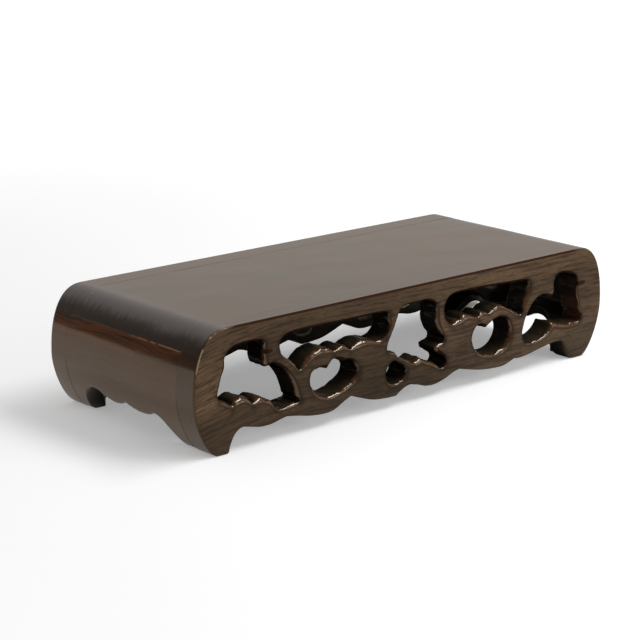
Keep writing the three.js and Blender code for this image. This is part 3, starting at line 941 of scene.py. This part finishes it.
def panel_wood(colours):
    """Rosewood of the carved panels: wavy grain, polished red-brown lips, walls darkened by painted
    shade.
    """
    made, nodes = material("panel_rosewood")
    place = nodes.coordinates()
    x, y, z = (nodes.part(place, axis) for axis in "XYZ")
    # The grain sinks towards the left end of the front, as the square of the way past GRAIN_TURN
    past = (GRAIN_TURN - x).larger(0)
    sunk = nodes.add("ShaderNodeCombineXYZ", inputs={"Z": past * past * GRAIN_DROP})
    drawn = nodes.vector("ADD", place, sunk)
    broad, lines, fine = grain(nodes, drawn, 34, 620, 5 * MM)
    dash = nodes.noise(drawn, (190, 1500, 1500), 1.0, 0.5)
    # The back panel is the front one turned, so its X counts the other way along the template
    back = nodes.ramp(y, -1 * MM, 1 * MM)
    along = x * (1 - back * 2)
    # Painted light: the face is paler at the left end, dark in the middle, and paler again by half
    # on the right half
    between = nodes.ramp(z, 6 * MM, 34 * MM) * nodes.ramp(z, 66 * MM, 46 * MM, 0.4, 1.0)
    right = nodes.ramp(along, -30 * MM, 60 * MM)
    painted_light = nodes.ramp(along, -112 * MM, -168 * MM) * between
    painted_light = painted_light + right * nodes.ramp(along, 160 * MM, 130 * MM, 0.3, 0.5)
    tone = nodes.blend(painted_light * 0.8, colours.panel, colours.panel_lit)
    streaks = ((lines, 0.44, 0.66, 0.75), (fine, 0.5, 0.72, 0.55), (dash, 0.56, 0.72, 0.65))
    for streak, low, high, share in streaks:
        tone = nodes.blend(nodes.ramp(streak, low, high) * share, tone, colours.panel_streak)
    tone = nodes.shaded(tone, nodes.ramp(broad, 0.3, 0.7, 0.8, 1.22))
    # Darker towards the bottom, more so at the feet, and most at the right-hand foot
    tone = nodes.shaded(tone, nodes.ramp(z, 4 * MM, 52 * MM, 0.74, 1.04))
    feet = nodes.ramp(z, 32 * MM, 4 * MM) * nodes.ramp(abs(x), 120 * MM, 145 * MM)
    tone = nodes.shaded(tone, 1 - feet * (right * 0.22 + 0.06))
    face = nodes.ramp(abs(y), HALF_DEPTH - 1.2 * MM, HALF_DEPTH - 0.2 * MM)
    end = nodes.ramp(abs(x), 152 * MM, 158 * MM) * (1 - face)
    level = nodes.ramp(z, HEIGHT - 0.9 * MM, HEIGHT - 0.2 * MM)
    # Marks are 0 on the flat faces, 1 on the openings' walls and -1 on the outer walls
    carved = nodes.mark("carved")
    polish = nodes.ramp(carved, 0.02, 0.2)
    wall = nodes.ramp(carved, 0.8, 1.0)
    # Painted shade: the openings' walls, the outer walls under the panel and its hidden inner face
    # take the dark wall colour
    hidden = nodes.ramp(abs(y), INNER_HALF_DEPTH + 1.2 * MM, INNER_HALF_DEPTH + 0.3 * MM)
    under = nodes.ramp(carved, -0.7, -0.98)
    shade = (wall.larger(under) + hidden) * (1 - end) * (1 - level)
    shade = shade.smaller(1.0)
    # Painted light: walls that face up take a paler colour
    lit =nodes.mark("upward") * wall * (1 - hidden)
    tone = nodes.blend(polish, tone, colours.lip)
    tone = nodes.blend(shade, tone, nodes.blend(lit, colours.wall, colours.wall_lit))
    # Painted shade: a dark line at the lips' feet, over the lips facing right or down, and in the
    # scallops' grooves
    lip_shade = nodes.ramp(carved, 0.0, 0.12)
    leaning = nodes.ramp(nodes.mark("leaning"), -0.35, 0.15)
    lip_shade = lip_shade * (1 - nodes.ramp(carved, 0.12, 0.38) * leaning)
    depth = 0.8 - leaning * 0.38
    tone = nodes.shaded(tone, 1 - nodes.mark("hollow") * 0.6 * (1 - lip_shade) - lip_shade * depth)
    # The short cuts, painted dark as the shade inside them and sunk by the bump
    cut = incised(nodes, along, y, z)
    tone = nodes.blend(cut, tone, colours.incised)
    # Painted shade: a dark, matte line on the rounding of the top edge between the two shoulders
    rim = nodes.ramp(carved, -0.02, -0.12) * nodes.ramp(carved, -0.99, -0.88)
    rim = rim * nodes.ramp(z, 70 * MM, 73 * MM) * nodes.ramp(abs(x), 158 * MM, 146 * MM)
    tone = nodes.blend(rim, tone, colours.rim)
    # Painted highlight: bright glints in patches on the rounded edge at each shoulder, also glossy
    # there
    shoulder = nodes.ramp(abs(x), 160 * MM, 165 * MM) * nodes.ramp(z, 46 * MM, 58 * MM)
    edge = nodes.ramp(carved, -0.15, -0.3) * nodes.ramp(carved, -0.75, -0.55) * shoulder
    edge_glint = nodes.ramp(nodes.noise(place, (110, 110, 150), 2.0, 0.6), 0.46, 0.52)
    tone = nodes.blend(edge * edge_glint * 0.7, tone, colours.edge_glint)
    rough = nodes.bump(lines * 0.6 + fine * 0.4 - cut, 0.35, 0.12 * MM)
    plain = nodes.wood(tone, 0.44 + fine * 0.05, 0.2, rough)
    dull = nodes.wood(tone, 0.7, 0.0, rough)
    lip = nodes.wood(tone, 0.17, 1.0, nodes.bump(fine, 0.1, 0.1 * MM))
    gleam = nodes.ramp(carved, 0.22, 0.42) * leaning * (1 - wall * 0.8) * (1 - cut)
    gleam = gleam.larger(edge * edge_glint)
    dry = (rim + lip_shade * depth + wall * (1 - nodes.mark("upward"))).smaller(1.0)
    carving = nodes.mixed(gleam, nodes.mixed(dry, plain, dull), lip)
    upper, on_roll = upper_wood(nodes, place, colours)
    # The back panel's ends match the end boards, and the front panel's are darker
    strip = nodes.blend(back, colours.end_strip, side_wood(nodes, place, colours))
    on_top = nodes.ramp(z, JOINT_HEIGHT - 4 * MM, JOINT_HEIGHT + 2 * MM)
    outer = polished(nodes, place, nodes.blend(on_top, strip, upper), on_roll)
    board_like = end.larger(level) * (1 - rim)
    nodes.surface(nodes.mixed(board_like, carving, outer))
    return made


def incised(nodes, along, y, z):
    """The short cuts on each panel's outer face: 1 inside their ellipses, 0 outside."""
    found = 0.0
    for middle, height, reach, width in INCISED:
        lengthwise = (along - middle * MM) / (reach * MM)
        across = (z - height * MM) / (width * MM)
        away = lengthwise * lengthwise + across * across
        found = nodes.ramp(away, 1.0, 0.55) + found
    return found * nodes.ramp(abs(y), HALF_DEPTH - 2.5 * MM, HALF_DEPTH - 1.5 * MM)


def board_wood(colours):
    """Rosewood of the boards: face grain on top, dark end grain on the rolls, a figured band."""
    made, nodes = material("board_rosewood")
    place = nodes.coordinates()
    x, y, z = (nodes.part(place, axis) for axis in "XYZ")
    upper, on_roll = upper_wood(nodes, place, colours)
    on_top = nodes.ramp(z, JOINT_HEIGHT - 0.2 * MM, JOINT_HEIGHT)
    tone = nodes.blend(on_top, side_wood(nodes, place, colours), upper)
    # Painted shade in the gap of the joint with the front panel, only towards the ends
    joint = nodes.ramp(y, 0.4 * MM - BOARD_HALF_WIDTH, 0.1 * MM - BOARD_HALF_WIDTH)
    joint = joint * nodes.ramp(abs(x), 110 * MM, 140 * MM) * nodes.ramp(z, 72 * MM, 76 * MM, 0.6)
    tone = nodes.shaded(tone, 1 - joint * 0.6)
    # Painted highlight: a bright line along the upper edge under the roll, on the half where X and
    # Y have the same sign
    arris_glint = nodes.ramp(z, JOINT_HEIGHT - 1.1 * MM, JOINT_HEIGHT - 0.6 * MM) * (1 - on_top)
    arris_glint = arris_glint * nodes.ramp(x * y, 0.0, 0.003)
    arris_glint = arris_glint * nodes.ramp(nodes.noise(place, (150, 150, 150), 2.0), 0.36, 0.5)
    tone = nodes.blend(arris_glint, tone, colours.arris_glint)
    # Painted shade: the board's hidden faces take the dark wall colour
    tone = nodes.blend(nodes.mark("hidden"), tone, colours.wall)
    nodes.surface(polished(nodes, place, tone, on_roll))
    return made


def bare_wood(colours):
    """Pale unfinished wood of the dowels and tongues, with fine darker grain along Y."""
    made, nodes = material("bare_wood")
    place = nodes.coordinates()
    lines = nodes.noise(place, (1100, 60, 1100), 3.0, 0.6)
    tone = nodes.blend(nodes.ramp(lines, 0.4, 0.75) * 0.6, colours.bare, colours.bare_streak)
    roughness = nodes.ramp(lines, 0.3, 0.7, 0.62, 0.75)
    nodes.surface(nodes.wood(tone, roughness, 0.5, nodes.bump(lines, 0.3, 0.1 * MM)))
    return made


# The boards


def corner(place, arriving, leaving, size, steps):
    """A rounded corner: place - arriving * size (1 - sin t) + leaving * size (1 - cos t)."""
    t = np.linspace(0, np.pi / 2, steps)[:, None]
    away = arriving[..., None, :] * (1 - np.sin(t)) * size
    on = leaving[..., None, :] * (1 - np.cos(t)) * size
    return place[..., None, :] - away + on


def unit(vectors):
    """The vectors at length 1."""
    return vectors / np.linalg.norm(vectors, axis=-1, keepdims=True)


def board_shell(sections, hidden, y, seam_edge, dowel_places, wave):
    """A board lofted through sections of shape (len(y), points, 2), anticlockwise in X and Z.

    Both end rings are drawn in by a quarter circle, then closed flat round the dowel holes. A
    doubled ring beside each keeps the shading straight up to the seam.
    """
    shell = Shell()
    t = np.linspace(0, np.pi / 2, CORNER_STEPS)[:-1]
    drawn_in = (1 - np.sin(t)) * seam_edge / 2
    near, far = sections[0], sections[-1]
    start = [near + eased_normals(near) * size for size in drawn_in]
    finish = [far + eased_normals(far) * size for size in drawn_in[::-1]]
    inset = np.append(seam_edge * (1 - np.cos(t)), [seam_edge, seam_edge + SUPPORT_GAP])
    depths = np.concatenate([y[0] + inset, y[1:-1], y[-1] - inset[::-1]])
    flat = np.concatenate([start, [near, near], sections[1:-1], [far, far], finish])
    rings = np.stack([flat[..., 0], np.repeat(depths[:, None], flat.shape[1], 1), flat[..., 1]], -1)
    inward = np.stack([eased_normals(ring) for ring in flat])
    swell = (ripple(rings, SCRAPED_WAVELENGTH, SCRAPED_SEED) * 0.5 + 1).clip(0, 2) * 0.5 * wave
    rings[..., [0, 2]] += inward * swell[..., None]
    first, last = shell.add_band(rings, hidden=hidden)
    reach = DOWEL_HOLE_REACH - (INNER_HALF_DEPTH + y[0])
    for ring, depth, facing in ((first, y[0], -1), (last, y[-1], 1)):
        mouths = [shell.add_socket(x, z, depth, depth - facing * reach) for x, z in dowel_places]
        shell.add_flat([ring] + mouths, depth, facing, FACE_STEP * 2)
    return shell


def top_section(joint_edge):
    """Outline of the top board: flat below, rolled over at both ends. Also its hidden marks."""
    right = end_curve(JOINT_HEIGHT + joint_edge, HEIGHT, ROLL_STEPS)
    top = np.linspace(right[-1, 0], -right[-1, 0], LEVEL_STEPS)[1:-1]
    level = np.column_stack([top, np.full(len(top), HEIGHT)])
    foot = np.array([end_x(JOINT_HEIGHT), JOINT_HEIGHT])
    up = unit(right[1] - right[0])
    below = np.linspace(-foot[0] + joint_edge * 2, foot[0] - joint_edge * 2, UNDER_STEPS)
    under = np.column_stack([below, np.full(len(below), JOINT_HEIGHT)])
    turn = corner(foot, np.array([1.0, 0.0]), up, joint_edge, CORNER_STEPS)
    back = turn[::-1] * [-1, 1]
    section = np.vstack([under, turn, right[1:], level, right[:0:-1] * [-1, 1], back])
    return section, (np.arange(len(section)) < len(under)).astype(float)


def end_sections(y, side, joint_edge):
    """Outlines of an end board at each y: the lower edge follows the apron.

    The outer side follows the end profile between the apron's height and the joint, and the
    inner side is the same curve a board's thickness further in, upright near its foot. The
    right board is the left one turned half round. Gives the outlines and their hidden marks.
    """
    apron = through(END_APRON)
    low = np.interp(-side * y, apron[:, 0], apron[:, 1], left=0, right=0)
    high = JOINT_HEIGHT - ROLL_JOINT_GAP
    start = (low + END_LOWER_EDGE)[:, None]
    z = start + (high - joint_edge - start) * np.linspace(0, 1, SIDE_STEPS)
    outer = np.stack([end_x(z), z], -1)
    upright = low[:, None] + UPRIGHT_FOOT
    inner = np.stack([end_x(np.maximum(z, upright)) - END_BOARD_THICKNESS, z], -1)[:, ::-1]
    inner_foot = np.column_stack([end_x(upright[:, 0]) - END_BOARD_THICKNESS, low])
    foot = np.stack([end_x(low), low], -1)
    head = np.array([end_x(high), high]) + 0 * foot
    rise = unit(outer[:, 0] - foot + 1e-9)
    fall = unit(head - outer[:, -1])
    right, back, down = (np.array(way) + 0 * foot for way in ([1, 0], [-1, 0], [0, -1]))
    deep = np.array([END_BOARD_THICKNESS, 0])
    under = corner(foot, right, rise, END_LOWER_EDGE, FOOT_STEPS)
    over = corner(head, fall, back, joint_edge, CORNER_STEPS)
    inner_over = corner(head - deep, back, -fall, joint_edge, CORNER_STEPS)
    inner_under = corner(inner_foot, down, right, END_LOWER_EDGE * 0.6, FOOT_STEPS)
    outside = np.concatenate([under, outer[:, 1:-1], over], 1)
    sections = np.concatenate([outside, inner_over, inner[:, 1:-1], inner_under], 1)
    hidden = (np.arange(sections.shape[1]) >= outside.shape[1]).astype(float)
    hidden[:FOOT_STEPS] = np.linspace(1, 0, FOOT_STEPS)
    return (sections, hidden) if side > 0 else (sections[:, ::-1] * [-1, 1], hidden[::-1])


# The operators


def settings():
    """The stand's settings in this scene."""
    return bpy.context.scene.display_stand


def dress(piece, slot, finish, *nodes):
    """Gives a piece its finish and lets it stand for the CAD nodes named."""
    piece.data.materials.append(finish)
    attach(piece, "root")
    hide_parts(*nodes)


class STAND_OT_side_panels(bpy.types.Operator):
    """Carves the front and back side panels, which are the same board turned half round"""

    bl_idname = "stand.side_panels"
    bl_label = "Side Panels"

    def execute(self, context):
        stand = settings()
        places = dowel_middles("front_")
        shell = panel_shell(stand.shape, places)
        finish = panel_wood(stand.colours)

        def at_front(points):
            return points + [0, -HALF_DEPTH, 0]

        def at_back(points):
            return points * [-1, -1, 1] + [0, HALF_DEPTH, 0]

        for side, place in (("front", at_front), ("back", at_back)):
            piece = shell.piece(f"{side}_panel_carved", place)
            dress(piece, "panel_rosewood", finish, f"{side}_side_panel")
        return {"FINISHED"}


class STAND_OT_boards(bpy.types.Operator):
    """Shapes the top board with its rolled ends, and the two end boards"""

    bl_idname = "stand.boards"
    bl_label = "Boards"

    def execute(self, context):
        shape = settings().shape
        finish = board_wood(settings().colours)
        edge = INNER_HALF_DEPTH - shape.seam
        y = np.linspace(-edge, edge, TOP_SLICES)
        section, hidden = top_section(shape.joint_edge)
        sections = np.repeat(section[None], len(y), 0)
        places = dowel_middles("front_top_dowel")
        shell = board_shell(sections, hidden, y, shape.seam_edge, places, shape.waviness)
        dress(shell.piece("top_board_rolled"), "board_rosewood", finish, "top_board")
        y = np.linspace(-edge, edge, END_SLICES)
        for name, side in (("left", -1), ("right", 1)):
            sections, hidden = end_sections(y, side, shape.joint_edge)
            places = dowel_middles(f"front_{name}_end_dowel")
            shell = board_shell(sections, hidden, y, shape.seam_edge, places, shape.waviness)
            piece = shell.piece(f"{name}_end_board_shaped")
            dress(piece, "board_rosewood", finish, f"{name}_end_board")
        return {"FINISHED"}


class STAND_OT_joinery(bpy.types.Operator):
    """Gives the hidden dowels and tongues their bare wood"""

    bl_idname = "stand.joinery"
    bl_label = "Dowels and Tongues"

    def execute(self, context):
        finish = bare_wood(settings().colours)
        for name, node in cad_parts.items():
            if name.endswith("tongue") or "dowel" in name:
                node.data.materials.clear()
                node.data.materials.append(finish)
        return {"FINISHED"}


# Studio: the camera stands where the photograph was taken from
IMAGE_SIZE = 640
FOCAL_PIXELS = 1954
SENSOR_WIDTH = 36
CAMERA_PLACE = (-0.8361, -0.9048, 0.3755)
CAMERA_YAW = math.radians(42.15)
CAMERA_PITCH = math.radians(15.28)
CAMERA_ROLL = math.radians(0.46)

# Softboxes: name, place, what it points at, width, height, radiance
SOFTBOXES = [
    ("overhead", (0.62, -0.42, 1.2), (0, 0, 0.04), 1.1, 0.3, 10.5),
    ("front", (0.75, -1.4, 0.5), (0, 0, 0.04), 1.0, 0.7, 4.2),
]
ROOM_LIGHT = 0.36
FLOOR_REACH = 9.0
# The white backdrop stands behind the stand. The rest of the room is dimmer in the gloss.
BACKDROP_WAY = (math.sin(CAMERA_YAW), math.cos(CAMERA_YAW), 0)
BACKDROP_GLOSS = 0.7
ROOM_GLOSS = 0.1
GLOSS_TINT = (1.0, 0.97, 0.91)
FLOOR_TINT = (1.0, 0.92, 0.78)
# The floor's white paper, and how much it glows near the stand and far from it, by distance
PAPER = (0.86, 0.86, 0.86)
NEAR_GLOW = 0.3
FAR_GLOW = 0.72
GLOW_DISTANCES = (0.3, 1.5)
# In the gloss: glow beside the stand's ends, from X to X, and the dim floor in front, from Y to Y
SIDE_GLOW = 0.5
BESIDE_ENDS = (0.15, 0.18)
DIM_FLOOR = (0.17, 0.155, 0.13)
IN_FRONT = (-0.07, -0.16)


class STAND_OT_stage(bpy.types.Operator):
    """Sets the floor, the soft lights, the white surroundings and the camera"""

    bl_idname = "stand.stage"
    bl_label = "Studio"

    def execute(self, context):
        self.floor()
        self.surroundings()
        for box in SOFTBOXES:
            self.softbox(*box)
        self.camera()
        context.scene.view_settings.view_transform = "Standard"
        return {"FINISHED"}

    def rays(self, nodes):
        """Two numbers: 1 for a ray straight from the camera, and 1 for a ray off a gloss."""
        path = nodes.add("ShaderNodeLightPath", output="Is Camera Ray")
        outputs = path.socket.node.outputs
        glossy = Value(nodes, outputs["Is Glossy Ray"])
        straight = path.larger(Value(nodes, outputs["Is Transmission Ray"]))
        return straight, glossy

    def floor(self):
        """A wide level floor at Z = 0, pale, that glows a little where it is seen.

        In the gloss the paper ends in front of the stand, where the room is dim.
        """
        mesh = bpy.data.meshes.new("floor")
        corners = np.array([(-1, -1, 0), (1, -1, 0), (1, 1, 0), (-1, 1, 0)]) * FLOOR_REACH
        mesh.from_pydata(corners.tolist(), [], [(0, 1, 2, 3)])
        made, nodes = material("floor_paper")
        place = nodes.coordinates()
        straight, glossy = self.rays(nodes)
        away = nodes.vector("LENGTH", place, output="Value")
        dim = glossy * nodes.ramp(nodes.part(place, "Y"), *IN_FRONT)
        beside = nodes.ramp(abs(nodes.part(place, "X")), *BESIDE_ENDS)
        near = straight * NEAR_GLOW + (glossy - dim) * beside * SIDE_GLOW
        far = (straight + glossy - dim) * FAR_GLOW
        glow = near + (far - near) * nodes.ramp(away, *GLOW_DISTANCES)
        tint = nodes.blend(glossy, (1, 1, 1), FLOOR_TINT)
        shader = nodes.add("ShaderNodeBsdfPrincipled", inputs={
            "Base Color": nodes.blend(dim, PAPER, DIM_FLOOR),
            "Roughness": 1.0,
            "Specular IOR Level": 0.0,
            "Emission Color": nodes.shaded(tint, glow),
            "Emission Strength": 1.0,
        })
        nodes.surface(shader)
        mesh.materials.append(made)
        floor = add_object("floor", mesh)

    def surroundings(self):
        """White where it is seen, the studio in the gloss, and an even dimmer light on the object.

        In the gloss it is white towards the backdrop and fades to the dim room round the sides.
        """
        world = bpy.data.worlds.new("studio")
        bpy.context.scene.world = world
        world.use_nodes = True
        nodes = Nodes(world.node_tree)
        straight, glossy = self.rays(nodes)
        way = nodes.add("ShaderNodeTexCoord", output="Generated")
        behind = nodes.vector("DOT_PRODUCT", way, BACKDROP_WAY, output="Value")
        gloss = nodes.ramp(behind, 0.1, 0.45, ROOM_GLOSS, BACKDROP_GLOSS)
        strength = straight + glossy * gloss + (1 - straight - glossy) * ROOM_LIGHT
        inputs = {"Color": nodes.blend(glossy, (1, 1, 1), GLOSS_TINT), "Strength": strength}
        background = nodes.add("ShaderNodeBackground", inputs=inputs)
        nodes.add("ShaderNodeOutputWorld", inputs={"Surface": background})

    def softbox(self, name, place, target, width, height, radiance):
        """A rectangular lamp of even radiance that points at the target."""
        lamp = bpy.data.lights.new(name, "AREA")
        lamp.shape = "RECTANGLE"
        lamp.size, lamp.size_y = width, height
        lamp.energy = radiance * math.pi * width * height
        aim = (Vector(target) - Vector(place)).to_track_quat("-Z", "Y")
        add_object(name, lamp, Matrix.Translation(place) @ aim.to_matrix().to_4x4())

    def camera(self):
        """The camera at the photograph's place, turned by yaw, pitch and roll."""
        lens = bpy.data.cameras.new("camera")
        lens.sensor_width = SENSOR_WIDTH
        lens.lens = FOCAL_PIXELS / IMAGE_SIZE * SENSOR_WIDTH
        lens.clip_start, lens.clip_end = 0.05, 50
        turn = Matrix.Rotation(-CAMERA_YAW, 4, "Z")
        turn = turn @ Matrix.Rotation(math.pi / 2 - CAMERA_PITCH, 4, "X")
        turn = turn @ Matrix.Rotation(CAMERA_ROLL, 4, "Z")
        place = Matrix.Translation(CAMERA_PLACE) @ turn
        bpy.context.scene.camera = add_object("camera", lens, place)


class STAND_PT_panel(bpy.types.Panel):
    """Lists the stand's pieces and settings"""

    bl_idname = "STAND_PT_panel"
    bl_label = "Display Stand"
    bl_space_type = "VIEW_3D"
    bl_region_type = "UI"
    bl_category = "Stand"

    def draw(self, context):
        for operator in OPERATORS:
            self.layout.operator(operator.bl_idname)
        for group in (settings().shape, settings().colours):
            box = self.layout.box()
            for name in type(group).__annotations__:
                box.prop(group, name)


OPERATORS = (STAND_OT_side_panels, STAND_OT_boards, STAND_OT_joinery, STAND_OT_stage)
CLASSES = (StandShape, StandColours, StandSettings, *OPERATORS, STAND_PT_panel)


def register():
    for item in CLASSES:
        bpy.utils.register_class(item)
    bpy.types.Scene.display_stand = PointerProperty(type=StandSettings)


def unregister():
    del bpy.types.Scene.display_stand
    for item in reversed(CLASSES):
        bpy.utils.unregister_class(item)


def main():
    register()
    bpy.ops.stand.side_panels()
    bpy.ops.stand.boards()
    bpy.ops.stand.joinery()
    bpy.ops.stand.stage()


if __name__ == "__main__":
    main()
